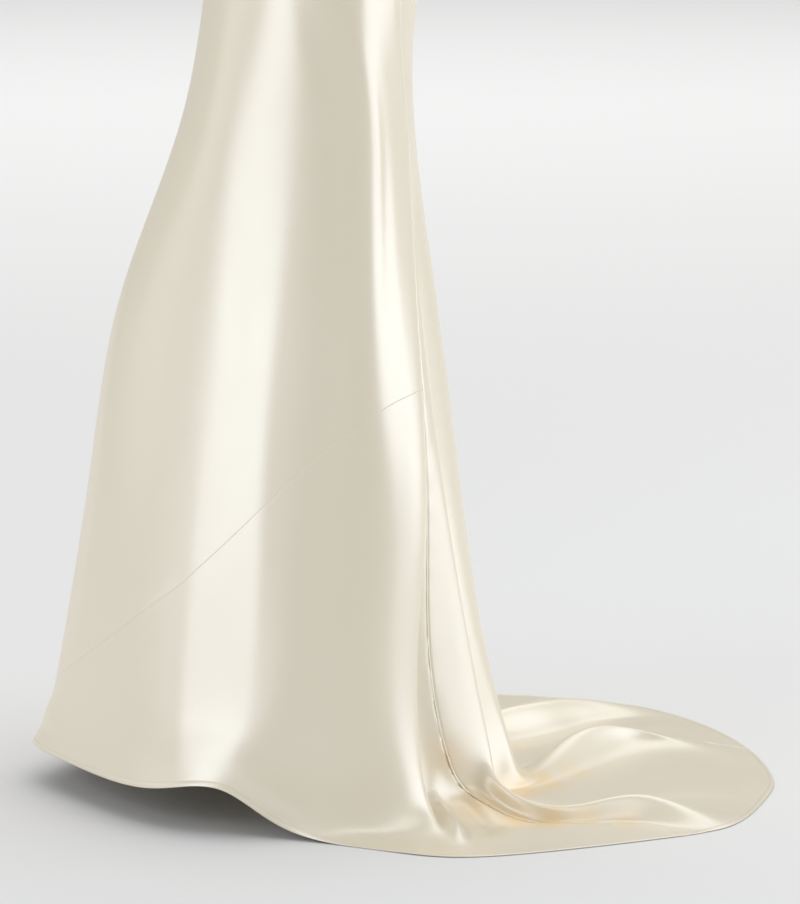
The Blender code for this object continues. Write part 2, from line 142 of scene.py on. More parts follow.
# %% Table of feet
# foot, landing, three places on the run, hem: each x, y and height
FEET = (
    (0.000, -0.277, 0.091, 0.000, -0.284, 0.073, 0.000, -0.287, 0.062,
     0.000, -0.292, 0.052, 0.000, -0.295, 0.046, 0.000, -0.298, 0.041),
    (0.108, -0.241, 0.090, 0.106, -0.245, 0.072, 0.105, -0.248, 0.061,
     0.103, -0.251, 0.050, 0.101, -0.253, 0.044, 0.099, -0.254, 0.039),
    (0.213, -0.154, 0.093, 0.217, -0.157, 0.074, 0.219, -0.159, 0.064,
     0.222, -0.161, 0.053, 0.224, -0.162, 0.047, 0.226, -0.163, 0.042),
    (0.260, -0.072, 0.093, 0.263, -0.078, 0.077, 0.264, -0.081, 0.068,
     0.265, -0.085, 0.058, 0.266, -0.087, 0.053, 0.267, -0.089, 0.049),
    (0.268, -0.010, 0.075, 0.272, -0.014, 0.049, 0.275, -0.017, 0.036,
     0.276, -0.019, 0.023, 0.278, -0.021, 0.016, 0.279, -0.022, 0.010),
    (0.272, 0.066, 0.054, 0.281, 0.068, 0.025, 0.289, 0.070, 0.011,
     0.301, 0.073, 0.005, 0.314, 0.077, 0.002, 0.330, 0.081, 0.001),
    (0.248, 0.115, 0.053, 0.265, 0.124, 0.025, 0.283, 0.132, 0.013,
     0.306, 0.141, 0.005, 0.329, 0.149, 0.002, 0.354, 0.156, 0.001),
    (0.214, 0.112, 0.036, 0.233, 0.131, 0.012, 0.254, 0.152, 0.005,
     0.278, 0.180, 0.002, 0.303, 0.212, 0.001, 0.330, 0.248, 0.001),
    (0.184, 0.149, 0.050, 0.188, 0.176, 0.020, 0.214, 0.222, 0.003,
     0.224, 0.290, 0.002, 0.244, 0.344, 0.001, 0.270, 0.384, 0.001),
    (0.174, 0.170, 0.056, 0.182, 0.188, 0.024, 0.203, 0.225, 0.005,
     0.213, 0.285, 0.002, 0.214, 0.343, 0.002, 0.257, 0.405, 0.001),
    (0.161, 0.188, 0.060, 0.185, 0.199, 0.034, 0.201, 0.233, 0.018,
     0.198, 0.291, 0.018, 0.193, 0.351, 0.023, 0.240, 0.426, 0.001),
    (0.146, 0.181, 0.036, 0.158, 0.201, 0.008, 0.172, 0.246, 0.003,
     0.172, 0.302, 0.003, 0.160, 0.367, 0.002, 0.196, 0.453, 0.001),
    (0.120, 0.172, 0.028, 0.124, 0.198, 0.006, 0.122, 0.262, 0.002,
     0.100, 0.330, 0.002, 0.094, 0.400, 0.002, 0.112, 0.482, 0.001),
    (0.078, 0.199, 0.040, 0.084, 0.222, 0.008, 0.006, 0.279, 0.003,
     -0.086, 0.342, 0.003, -0.096, 0.404, 0.002, 0.020, 0.498, 0.001),
    (0.056, 0.213, 0.048, 0.058, 0.231, 0.016, -0.016, 0.262, 0.018,
     -0.108, 0.319, 0.029, -0.132, 0.400, 0.010, -0.068, 0.493, 0.001),
    (0.012, 0.198, 0.036, -0.002, 0.214, 0.010, -0.038, 0.240, 0.005,
     -0.128, 0.298, 0.004, -0.170, 0.388, 0.003, -0.155, 0.476, 0.001),
    (-0.060, 0.164, 0.020, -0.088, 0.196, 0.006, -0.118, 0.240, 0.003,
     -0.180, 0.296, 0.002, -0.230, 0.352, 0.002, -0.236, 0.447, 0.001),
    (-0.108, 0.172, 0.024, -0.142, 0.200, 0.008, -0.176, 0.236, 0.004,
     -0.216, 0.280, 0.003, -0.262, 0.326, 0.002, -0.293, 0.415, 0.001),
    (-0.150, 0.184, 0.048, -0.180, 0.202, 0.030, -0.206, 0.228, 0.030,
     -0.246, 0.268, 0.028, -0.288, 0.312, 0.020, -0.333, 0.378, 0.001),
    (-0.166, 0.164, 0.036, -0.200, 0.184, 0.010, -0.232, 0.208, 0.004,
     -0.270, 0.244, 0.003, -0.316, 0.282, 0.002, -0.360, 0.335, 0.001),
    (-0.168, 0.140, 0.034, -0.204, 0.158, 0.010, -0.240, 0.176, 0.003,
     -0.285, 0.204, 0.002, -0.330, 0.236, 0.001, -0.384, 0.284, 0.001),
    (-0.206, 0.100, 0.034, -0.236, 0.118, 0.012, -0.268, 0.138, 0.004,
     -0.308, 0.163, 0.002, -0.351, 0.190, 0.001, -0.400, 0.224, 0.001),
    (-0.250, 0.098, 0.052, -0.270, 0.104, 0.024, -0.290, 0.111, 0.012,
     -0.322, 0.123, 0.005, -0.358, 0.138, 0.002, -0.397, 0.154, 0.001),
    (-0.268, 0.042, 0.053, -0.276, 0.043, 0.024, -0.284, 0.045, 0.011,
     -0.298, 0.049, 0.005, -0.318, 0.056, 0.002, -0.344, 0.064, 0.001),
    (-0.268, -0.020, 0.075, -0.272, -0.024, 0.049, -0.275, -0.027, 0.036,
     -0.277, -0.029, 0.023, -0.279, -0.031, 0.015, -0.280, -0.032, 0.010),
    (-0.259, -0.080, 0.093, -0.261, -0.086, 0.076, -0.262, -0.089, 0.066,
     -0.263, -0.093, 0.055, -0.263, -0.095, 0.050, -0.264, -0.097, 0.044),
    (-0.212, -0.160, 0.093, -0.216, -0.163, 0.076, -0.218, -0.165, 0.066,
     -0.221, -0.167, 0.055, -0.223, -0.168, 0.049, -0.225, -0.169, 0.043),
    (-0.108, -0.242, 0.091, -0.106, -0.246, 0.073, -0.105, -0.249, 0.062,
     -0.103, -0.252, 0.051, -0.101, -0.254, 0.045, -0.099, -0.255, 0.039),
)
FOOT_RUNS = (0.075, 0.140, 0.190, 0.255, 0.315, 0.375)

# %% [markdown]
# The diagonal seam joins a corner piece to the left front. A bias panel is often wider than the
# bolt of cloth, and the corner that is missing is pieced on with such a seam.

# %% The diagonal piecing seam
# fold place, height
PIECING = (
    (-1.10, 0.041),
    (0.00, 0.104),
    (1.00, 0.162),
    (2.00, 0.249),
    (3.00, 0.341),
    (4.00, 0.396),
    (5.00, 0.433),
    (6.00, 0.446),
    (8.00, 0.442),
)

# %% [markdown]
# ## Smooth curves
# Every fold is a smooth curve down the gown, and every level is a smooth closed curve round it.
# A cubic spline through the table's points gives both. Its curvature has no jumps, which matters
# on satin: a jump would show at once as a kink in the highlight.

# %% Spline shares
def spline_weights(knots, at, closed=False):
    """Share of each knot's point in a smooth curve, natural or closed, at the places asked."""
    knots = np.asarray(knots, float)
    step = np.diff(knots)
    count = len(knots) - (1 if closed else 0)
    matrix = np.zeros((count, count))
    right = np.zeros((count, count))
    for i in range(count):
        if not closed and i in (0, count - 1):
            matrix[i, i] = 1.0
            continue
        before = step[i - 1]
        after = step[i]
        matrix[i, i - 1] += before
        matrix[i, i] += 2.0 * (before + after)
        matrix[i, (i + 1) % count] += after
        right[i, i - 1] += 6.0 / before
        right[i, i] -= 6.0 / before + 6.0 / after
        right[i, (i + 1) % count] += 6.0 / after
    bend = np.linalg.solve(matrix, right)
    at = np.asarray(at, float)
    if closed:
        at = (at - knots[0]) % (knots[-1] - knots[0]) + knots[0]
    place = np.clip(np.searchsorted(knots, at, side="right") - 1, 0, len(step) - 1)
    h = step[place]
    a = (knots[place + 1] - at) / h
    b = (at - knots[place]) / h
    after = (place + 1) % count
    share = (a ** 3 - a)[:, None] * bend[place] + (b ** 3 - b)[:, None] * bend[after]
    share *= (h * h / 6.0)[:, None]
    rows = np.arange(len(at))
    share[rows, place] += a
    share[rows, after] += b
    return share


def spline(knots, points, at):
    """Smooth open curve through points at the given knots, at the places asked."""
    return spline_weights(knots, at) @ np.asarray(points, float)


# %% [markdown]
# ## From tables to a surface
# The guide of a fold is its list of points from the top section to the hem. All guides share one
# scale of lengths down the gown. Round it, folds that lie close together get a shorter step, by
# the square root of the distance between them, which keeps the curve from looping.

# %% Guides of the folds
def ring_point(turn, front, back, half, square, middle):
    """Point of a rounded section at a turn from the centre front."""
    angle = math.radians(turn)
    c = -math.cos(angle)
    s = math.sin(angle)
    depth = back - middle if c > 0.0 else front + middle
    x = half * math.copysign(abs(s) ** (2.0 / square), s)
    y = middle + depth * math.copysign(abs(c) ** (2.0 / square), c)
    return x, y


guides = []
for fold, foot in zip(FOLDS, FEET):
    points = []
    for height, *section in RINGS:
        share = min(max((HIP_HEIGHT - height) / (HIP_HEIGHT - THIGH_HEIGHT), 0.0), 1.0)
        turn = fold[1] + (fold[2] - fold[1]) * share
        points.append(ring_point(turn, *section) + (height,))
    points += [(fold[3 + 2 * i], fold[4 + 2 * i], h) for i, h in enumerate(HANG_HEIGHTS)]
    points += [foot[3 * i:3 * i + 3] for i in range(6)]
    guides.append(points)
GUIDES = np.array(guides)
LEVELS = [RINGS[0][0] - ring[0] for ring in RINGS]
LEVELS += [RINGS[0][0] - height for height in HANG_HEIGHTS]
LEVELS += [LEVELS[-1] + run for run in FOOT_RUNS]
HEM = LEVELS[-1]
gaps = np.linalg.norm(np.roll(GUIDES, -1, axis=0) - GUIDES, axis=2)[:, len(RINGS):].mean(axis=1)
ROUND = np.concatenate([[0.0], np.cumsum(np.sqrt(gaps))])
print("guides", GUIDES.shape, "length to the hem", round(HEM, 3))


# %% [markdown]
# Two splines, one down every guide and one round the gown, now turn any place on the cloth into
# a point. The edges of the panels are found on this surface too, from their heights.

# %% The cloth's middle, before creases
def base_points(folds, lengths):
    """Points at places round the gown (in folds) and down it (in metres), floor at zero."""
    places = np.interp(np.asarray(folds) % FOLD_COUNT, range(FOLD_COUNT + 1), ROUND)
    along = np.einsum("nl,klc->nkc", spline_weights(LEVELS, lengths), GUIDES)
    return np.einsum("nk,nkc->nc", spline_weights(ROUND, places, closed=True), along)


def level_at(fold, height):
    """Length down the gown where the fold place is at a height above the floor."""
    lengths = np.linspace(0.0, HEM, 400)
    heights = base_points(np.full(400, fold), lengths)[:, 2]
    below = np.nonzero(heights <= height)[0]
    if len(below) == 0:
        return HEM
    i = max(int(below[0]), 1)
    share = (heights[i - 1] - height) / max(heights[i - 1] - heights[i], 1e-9)
    return float(lengths[i - 1] + share * (lengths[i] - lengths[i - 1]))


TURNS = [row[1] for row in FOLDS] + [360]


def top_length(fold):
    """Length down the gown of the bodice's top edge at a fold place."""
    turn = float(np.interp(fold % FOLD_COUNT, range(FOLD_COUNT + 1), TURNS))
    turn = 360.0 - turn if turn > 180.0 else turn
    height = spline([row[0] for row in TOP_EDGE], [[row[1]] for row in TOP_EDGE], [turn])[0][0]
    return level_at(fold, float(height))


def seam_length(fold):
    """Length down the gown of the diagonal piecing seam at a fold place."""
    places = [row[0] for row in PIECING]
    if fold <= places[0]:
        return HEM
    return level_at(fold, float(spline(places, [[row[1]] for row in PIECING], [fold])[0][0]))


def hem_length(fold):
    """Length down the gown of its hem."""
    return HEM


# %% [markdown]
# ## Creases
# Between the large folds, satin carries soft drags and ripples. Each row is one, from the place
# where it starts to the place where it ends, as fold places and lengths down the gown, with its
# half width and its height in millimetres. A trough has a negative height. They fade at both
# ends, so none begins with a hard line.

# %% Table of creases
# start fold, start length, end fold, end length, half width mm, height mm
CREASES = (
    (1.45, 0.70, 1.65, 1.38, 18, 1.2),
    (2.05, 0.92, 2.35, 1.50, 13, 0.9),
    (2.75, 0.62, 2.95, 1.44, 14, 1.1),
    (2.20, 0.66, 2.45, 1.02, 14, -1.0),
    (0.55, 0.74, 0.75, 1.30, 18, 2.0),
    (3.10, 0.48, 4.05, 0.84, 13, -1.7),
    (3.70, 0.44, 5.10, 0.92, 12, 1.6),
    (4.45, 0.52, 5.60, 1.02, 10, -1.4),
    (5.45, 0.80, 5.75, 1.22, 9, 1.0),
    (1.30, 1.16, 2.00, 1.10, 9, 0.8),
    (1.20, 1.21, 1.90, 1.15, 8, -0.7),
    (6.10, 1.18, 6.30, 1.40, 6, 1.0),
    (9.55, 1.02, 9.70, 1.30, 7, -1.0),
    (7.75, 1.31, 6.10, 1.53, 8, 11.0),
    (7.30, 1.30, 5.90, 1.48, 7, -6.0),
    (8.05, 1.34, 6.90, 1.52, 8, -3.5),
    (12.30, 0.70, 12.50, 1.24, 14, 1.6),
    (16.40, 0.66, 16.70, 1.28, 15, 2.0),
    (21.60, 0.80, 21.80, 1.34, 12, 1.5),
    (23.40, 0.46, 22.30, 0.98, 13, -1.7),
    (24.40, 0.44, 23.20, 0.86, 12, 1.5),
    (25.30, 0.72, 25.10, 1.42, 14, 1.5),
    (26.45, 0.68, 26.20, 1.36, 15, 1.7),
    (27.40, 0.82, 27.30, 1.40, 13, 1.3),
    (2.60, 0.24, 3.60, 0.34, 10, -1.2),
    (25.50, 0.25, 24.30, 0.35, 10, -1.1),
    (3.30, 0.33, 4.60, 0.30, 8, -0.9),
    (24.60, 0.33, 23.50, 0.30, 8, -0.9),
    (13.10, 0.30, 14.30, 0.33, 9, -0.9),
    (15.80, 0.31, 14.80, 0.34, 9, -0.8),
    (10.90, 1.46, 11.30, 1.58, 14, 2.2),
    (12.20, 1.45, 12.55, 1.57, 20, 2.6),
    (16.60, 1.45, 16.40, 1.58, 20, 1.2),
    (19.40, 1.44, 19.20, 1.57, 16, 2.4),
    (21.50, 1.45, 21.40, 1.57, 18, 2.6),
)


def crease_relief(points):
    """Height that the creases add at each point of the cloth."""
    relief = np.zeros(len(points))
    for fold_a, length_a, fold_b, length_b, width, height in CREASES:
        t = np.linspace(0.0, 1.0, 25)
        path = base_points(fold_a + (fold_b - fold_a) * t, length_a + (length_b - length_a) * t)
        reach = 0.001 * width
        low = path.min(axis=0) - 3.0 * reach
        high = path.max(axis=0) + 3.0 * reach
        inside = np.nonzero(((points > low) & (points < high)).all(axis=1))[0]
        if len(inside) == 0:
            continue
        close = points[inside]
        near = np.full(len(close), 9.0)
        at = np.zeros(len(close))
        for i in range(len(path) - 1):
            edge = path[i + 1] - path[i]
            share = np.clip((close - path[i]) @ edge / (edge @ edge), 0.0, 1.0)
            gap = np.linalg.norm(close - path[i] - share[:, None] * edge, axis=1)
            closer = gap < near
            near[closer] = gap[closer]
            at[closer] = (i + share[closer]) / (len(path) - 1)
        fade = np.sin(math.pi * at) ** 1.5
        relief[inside] += 0.001 * height * fade * np.exp(-(near / reach) ** 2)
    return relief


# %% [markdown]
# ## Seams, puckers and the hem
# A pressed seam is a groove about a millimetre wide. On bias cloth the thread is a little tight,
# so the cloth beside a long seam draws into short ripples. The turned hem is double cloth, so it
# stands a little proud, up to its line of stitches.

# %% Relief beside seams and the hem
def groove(distance, depth, width):
    """Hollow of a pressed seam at a distance from it."""
    return -depth * np.exp(-(distance / width) ** 2)


def puckers(distance, length):
    """Short ripples beside a long seam, uneven in spacing and height."""
    wave = np.sin(length * 170.0 + 1.7 * np.sin(length * 23.0))
    strength = 0.35 + 0.65 * np.sin(length * 7.3 + 0.8) ** 2
    return 0.00042 * wave * strength * np.exp(-(distance / 0.009) ** 2)


def hem_relief(distance):
    """Double cloth below the line of stitches, and the small hollow that the stitches press."""
    double = 0.00035 / (1.0 + np.exp((distance - HEM_TURN) / 0.0006))
    edge = -0.0005 * np.exp(-(distance / 0.0009) ** 2)
    stitched = -0.00025 * np.exp(-((distance - HEM_TURN) / 0.0008) ** 2)
    return double + edge + stitched


# %% [markdown]
# ## Painted bounce light and painted shade
# Light that reaches a deep fold has bounced from satin to satin, and each bounce makes it a little
# more golden. A short table paints this golden bounce light into the colour where folds meet the
# floor. Cloth that lies flat there gets no light from below, and that shade is painted too: its
# colour is a shade darker.

# %% Painted bounce light in hollows and painted shade on lying cloth
# x, y and height of a hollow's middle, its reach, the strength of its painted bounce light
PAINTED_BOUNCE_SPOTS = (
    (0.196, 0.176, 0.012, 0.030, 0.80),
    (0.216, 0.212, 0.006, 0.022, 1.00),
    (0.212, 0.248, 0.003, 0.020, 1.00),
    (0.208, 0.284, 0.002, 0.016, 0.80),
    (0.212, 0.326, 0.002, 0.014, 0.55),
    (0.108, 0.206, 0.008, 0.026, 1.00),
    (0.084, 0.226, 0.004, 0.022, 1.00),
    (0.050, 0.252, 0.003, 0.022, 0.85),
    (0.000, 0.285, 0.003, 0.022, 0.45),
    (0.182, 0.140, 0.060, 0.024, 0.50),
    (-0.200, 0.150, 0.008, 0.036, 0.60),
    (-0.120, 0.196, 0.006, 0.036, 0.60),
)


def painted_bounce_share(points):
    """Share of painted golden bounce light at each point, from the hollows near it."""
    share = np.zeros(len(points))
    for x, y, z, reach, strength in PAINTED_BOUNCE_SPOTS:
        gap = np.linalg.norm(points - np.array((x, y, z)), axis=1)
        share = np.maximum(share, strength * np.exp(-(gap / reach) ** 2))
    return share


def lying_shade_mask(points, out):
    """How far the cloth at each point lies on the floor, from 0 to 1: the mask of its painted shade."""
    low = np.clip(1.0 - (points[:, 2] - 0.004) / 0.020, 0.0, 1.0)
    return low * np.clip((np.abs(out[:, 2]) - 0.75) / 0.2, 0.0, 1.0)


# %% [markdown]
# ## Making a panel
# A panel is a grid of points between two fold places. Its columns are spread by the width of each
# fold, with a few close to each seam for the groove. Its rows are spread by the length of the
# cloth, with a few close to the hem. The points become a sheet, and a Solidify modifier gives it
# the thickness of satin.

# %% Places of the columns
EDGE_STEPS = (0.0006, 0.0013, 0.0028)
HEM_STEPS = (0.0, 0.0008, 0.0020, 0.0040, 0.0051, 0.0060, 0.0069, 0.0080, 0.0105)


def column_places(first, last):
    """Fold places of a panel's columns, about a column step apart at the widest level."""
    places = [float(first), float(last)]
    for fold in range(int(math.floor(first)), int(math.ceil(last))):
        a = GUIDES[fold % FOLD_COUNT]
        b = GUIDES[(fold + 1) % FOLD_COUNT]
        widest = np.linalg.norm(a - b, axis=1).max()
        count = max(7, int(math.ceil(widest / COLUMN_STEP)))
        places += [fold + (k + 1) / count for k in range(count)]
    return np.array(sorted({round(p, 6) for p in places if first <= p <= last}))


# %% [markdown]
# The rows of a panel are spread along the real length of the cloth in each column, so the faces
# stay nearly square where the train runs out over the floor.

# %% Places of the rows
def row_lengths(folds, starts, ends, hem_below):
    """Lengths down each column, even along the cloth, closer together at a hem."""
    fine = np.linspace(0.0, 1.0, 260)
    lengths = starts[None, :] + (ends - starts)[None, :] * fine[:, None]
    grid = np.broadcast_to(folds[None, :], lengths.shape)
    points = base_points(grid.ravel(), lengths.ravel()).reshape(260, len(folds), 3)
    steps = np.linalg.norm(np.diff(points, axis=0), axis=2)
    along = np.concatenate([np.zeros((1, len(folds))), np.cumsum(steps, axis=0)])
    longest = along[-1].max()
    ends_at = np.array(HEM_STEPS if hem_below else (0.0,) + EDGE_STEPS)
    starts_at = np.array((0.0,) + EDGE_STEPS)
    middle = np.linspace(0.0, 1.0, max(12, int(longest / ROW_STEP)))[1:-1]
    rows = []
    for c in range(len(folds)):
        total = along[-1, c]
        head = starts_at * min(1.0, 0.2 * total / starts_at[-1])
        tail = total - ends_at[::-1] * min(1.0, 0.4 * total / ends_at[-1])
        body = head[-1] + (tail[0] - head[-1]) * middle
        places = np.concatenate([head, body, tail])
        rows.append(np.interp(places, along[:, c], lengths[:, c]))
    return np.array(rows).T


# %% [markdown]
# Each panel also carries a UV map in metres of cloth, so that the grain follows the cut, and it
# keeps its hem row, which the stitches use later.

# %% Panel from a grid
HEM_LINES = []


def panel_surface(first, last, start, end, hem_below):
    """Places of a panel's points round the gown and down it, as rows and columns."""
    folds = column_places(first, last)
    starts = np.array([start(f) for f in folds])
    ends = np.array([end(f) for f in folds])
    rows = row_lengths(folds, starts, ends, hem_below)
    count = len(rows)
    grid = np.broadcast_to(folds[None, :], rows.shape).copy()
    for side, edge, sign in ((0, first, 1.0), (-1, last, -1.0)):
        lengths = rows[:, side]
        ahead = base_points(np.full(count, edge + sign * 0.02), lengths)
        here = base_points(np.full(count, edge), lengths)
        rate = np.linalg.norm(ahead - here, axis=1) / 0.02
        for k, step in enumerate(EDGE_STEPS):
            extra = edge + sign * np.minimum(step / rate, 0.03 * (k + 1))
            at = k + 1 if sign > 0 else grid.shape[1] - 1 - k
            grid = np.insert(grid, at, extra, axis=1)
            rows = np.insert(rows, at, lengths, axis=1)
    return grid, rows


def cloth_points(folds, lengths):
    """Points of the cloth with creases, and its outward directions, floor at zero."""
    small = 0.002
    at = base_points(folds, lengths)
    round_way = base_points(folds + small, lengths) - base_points(folds - small, lengths)
    low = np.minimum(lengths + small, HEM)
    down_way = base_points(folds, low) - base_points(folds, lengths - small)
    out = np.cross(down_way, round_way)
    out /= np.linalg.norm(out, axis=1)[:, None] + 1e-12
    return at + out * crease_relief(at)[:, None], out


def distances(points, axis):
    """Distance along the cloth from the first row or column."""
    steps = np.linalg.norm(np.diff(points, axis=axis), axis=2)
    return np.concatenate([np.zeros_like(np.take(steps, [0], axis)), np.cumsum(steps, axis=axis)], axis)

# %% [markdown]
# ## Satin
# Satin has long threads lying side by side on its face. They reflect like a brushed surface, in
# broad soft bands, and hide the weave. The finish is a creamy ivory with a smooth, low roughness
# and a very fine grain that only shows close up.

# %% Satin grain and painted light, shared by all panels
def satin_grain_and_painted_light_group():
    """Node group: fine thread grain as a height, a faint change of roughness, and the ivory colour with
    painted shade and painted bounce light.
    """
    group = bpy.data.node_groups.new("satin_grain_and_painted_light", "ShaderNodeTree")
    face = group.interface
    face.new_socket("Colour", in_out="OUTPUT", socket_type="NodeSocketColor")
    face.new_socket("Height", in_out="OUTPUT", socket_type="NodeSocketFloat")
    face.new_socket("Roughness", in_out="OUTPUT", socket_type="NodeSocketFloat")
    nodes = group.nodes
    links = group.links
    outside = nodes.new("NodeGroupOutput")
    where = nodes.new("ShaderNodeUVMap")
    where.uv_map = "cloth"
    bias = nodes.new("ShaderNodeMapping")
    bias.inputs["Rotation"].default_value = (0.0, 0.0, math.radians(45.0))
    bias.inputs["Scale"].default_value = (1400.0, 90.0, 1.0)
    links.new(where.outputs["UV"], bias.inputs["Vector"])
    threads = nodes.new("ShaderNodeTexNoise")
    threads.inputs["Scale"].default_value = 1.0
    threads.inputs["Detail"].default_value = 2.0
    links.new(bias.outputs["Vector"], threads.inputs["Vector"])
    links.new(threads.outputs["Fac"], outside.inputs["Height"])
    cloud = nodes.new("ShaderNodeTexNoise")
    cloud.inputs["Scale"].default_value = 14.0
    cloud.inputs["Detail"].default_value = 3.0
    links.new(where.outputs["UV"], cloud.inputs["Vector"])
    span = nodes.new("ShaderNodeMapRange")
    span.inputs["To Min"].default_value = 0.31
    span.inputs["To Max"].default_value = 0.37
    links.new(cloud.outputs["Fac"], span.inputs["Value"])
    links.new(span.outputs["Result"], outside.inputs["Roughness"])
    colour = (*IVORY, 1.0)
    # Painted shade darkens cloth that lies on the floor, and painted bounce light turns the hollows
    # golden.
    for mask, tint, most in (("lying_painted_shade", PAINTED_SHADE_TONE, 1.0), ("painted_bounce_light", PAINTED_BOUNCE_GOLD, 0.85)):
        share = nodes.new("ShaderNodeAttribute")
        share.attribute_name = mask
        part = nodes.new("ShaderNodeMath")
        part.operation = "MULTIPLY"
        part.inputs[1].default_value = most
        links.new(share.outputs["Fac"], part.inputs[0])
        blend = nodes.new("ShaderNodeMix")
        blend.data_type = "RGBA"
        links.new(part.outputs["Value"], blend.inputs["Factor"])
        if isinstance(colour, tuple):
            blend.inputs["A"].default_value = colour
        else:
            links.new(colour, blend.inputs["A"])
        blend.inputs["B"].default_value = (*tint, 1.0)
        colour = blend.outputs["Result"]
    links.new(colour, outside.inputs["Colour"])
    return group


IVORY = (0.765, 0.685, 0.525)
# Painted shade: a darker ivory for cloth lying on the floor. Painted bounce light: a golden colour for
# deep folds.
PAINTED_SHADE_TONE = (0.690, 0.618, 0.470)
PAINTED_BOUNCE_GOLD = (0.790, 0.545, 0.220)
SATIN_GRAIN_AND_PAINTED_LIGHT = satin_grain_and_painted_light_group()


def satin(name):
    """Material of one panel: ivory satin with grain, and painted shade and painted bounce light in its
    colour.
    """
    material = bpy.data.materials.new(name)
    material.use_nodes = True
    nodes = material.node_tree.nodes
    links = material.node_tree.links
    shader = nodes["Principled BSDF"]
    shader.inputs["Metallic"].default_value = 0.0
    shader.inputs["Specular IOR Level"].default_value = 1.0
    shader.inputs["IOR"].default_value = 2.0
    shader.inputs["Anisotropic"].default_value = 0.0
    grain = nodes.new("ShaderNodeGroup")
    grain.node_tree = SATIN_GRAIN_AND_PAINTED_LIGHT
    links.new(grain.outputs["Colour"], shader.inputs["Base Color"])
    links.new(grain.outputs["Roughness"], shader.inputs["Roughness"])
    bump = nodes.new("ShaderNodeBump")
    bump.inputs["Strength"].default_value = 0.10
    bump.inputs["Distance"].default_value = 0.0002
    links.new(grain.outputs["Height"], bump.inputs["Height"])
    links.new(bump.outputs["Normal"], shader.inputs["Normal"])
    return material


# %% [markdown]
# One function makes every panel. It reads the points of the surface, presses in the grooves
# beside the seams, adds the puckers and the turned hem, and stores where painted bounce light
# and painted shade go. The sheet then takes the place of the solid panel of the frame.

# %% Sheet with its seams and hem
def make_panel(name, first, last, node, start, end, hem_from=None, seam_above=False):
    """Sheet between two fold places, on the form of the CAD node that it replaces."""
    grid, rows = panel_surface(first, last, start, end, hem_from is not None)
    shape = rows.shape
    points, out = cloth_points(grid.ravel(), rows.ravel())
    points = points.reshape(*shape, 3)
    out = out.reshape(*shape, 3)
    across = distances(points, 1)
    down = distances(points, 0)
    left = across
    right = across[:, -1:] - across
    up = down[-1:] - down
    relief = groove(left, 0.00045, 0.0010) + groove(right, 0.00045, 0.0010)
    relief += puckers(left, rows) + puckers(right, rows)
    at_hem = np.zeros(shape[1], bool)
    if hem_from is not None:
        at_hem = grid[-1] <= hem_from if hem_from < 0 else np.ones(shape[1], bool)
        relief += hem_relief(up) * at_hem[None, :]
    relief += groove(up, 0.00007, 0.0007) * ~at_hem[None, :]
    relief += groove(down, 0.00007 if seam_above else 0.0004, 0.0007)
    points += out * relief[:, :, None]
    points[:, :, 2] = np.maximum(points[:, :, 2], SATIN * 0.5 + 0.0003)
    points[:, :, 2] -= FLOOR_DROP
    count = shape[1]
    faces = []
    for r in range(shape[0] - 1):
        for c in range(count - 1):
            a = r * count + c
            faces.append((a, a + count, a + count + 1, a + 1))
    mesh = bpy.data.meshes.new(name)
    mesh.from_pydata(points.reshape(-1, 3).tolist(), [], faces)
    mesh.update()
    mesh.shade_smooth()
    corners = np.zeros(len(mesh.loops), np.int32)
    mesh.loops.foreach_get("vertex_index", corners)
    cloth = np.stack([across.ravel(), down.ravel()], 1)[corners]
    mesh.uv_layers.new(name="cloth").data.foreach_set("uv", cloth.ravel())
    on_floor = points.reshape(-1, 3) + np.array((0.0, 0.0, FLOOR_DROP))
    # Masks for painted bounce light in the hollows and painted shade on cloth lying on the floor.
    painted_bounce_light = mesh.attributes.new("painted_bounce_light", "FLOAT", "POINT")
    painted_bounce_light.data.foreach_set("value", painted_bounce_share(on_floor))
    lying_painted_shade = mesh.attributes.new("lying_painted_shade", "FLOAT", "POINT")
    lying_painted_shade.data.foreach_set("value", lying_shade_mask(on_floor, out.reshape(-1, 3)))
    if at_hem.any():
        line = points.reshape(*shape, 3)[-1 - HEM_STEPS.index(HEM_TURN)]
        HEM_LINES.append((line[at_hem], out[-1 - HEM_STEPS.index(HEM_TURN)][at_hem]))
    panel = bpy.data.objects.new(name, mesh)
    bpy.context.scene.collection.objects.link(panel)
    panel.data.materials.append(satin("ivory_" + name))
    wall = panel.modifiers.new("Satin", "SOLIDIFY")
    wall.thickness = SATIN
    wall.offset = 0.0
    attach(panel, "root")
    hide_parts(node)
    size = sum(p.area for p in mesh.polygons)
    print(name, "faces", len(faces), "area", round(size, 3))
    return panel


# %% [markdown]
# The front runs from one side-back seam to the other, the corner below the diagonal seam is a
# panel of its own, and the back is two halves. Each one's area, measured on the form, is about
# what a cutter would lay out.

# %% The four panels
CENTRE = 14.5
front_upper = make_panel("upper_front_satin", -SEAM_FOLD, SEAM_FOLD, "front_upper",
                         top_length, seam_length, hem_from=PIECING[0][0])
front_lower = make_panel("lower_front_satin", PIECING[0][0] + 0.015, SEAM_FOLD, "front_lower",
                         seam_length, hem_length, hem_from=0.0, seam_above=True)
back_left = make_panel("left_back_satin", SEAM_FOLD, CENTRE, "back_left",
                       top_length, hem_length, hem_from=0.0)
back_right = make_panel("right_back_satin", CENTRE, FOLD_COUNT - SEAM_FOLD, "back_right",
                        top_length, hem_length, hem_from=0.0)

# %% [markdown]
# ## The shoulder straps
# Each strap is a narrow tube of satin, pressed nearly flat, from the bodice's front edge over the
# shoulder to its back edge. Its path is the solid strap's own.

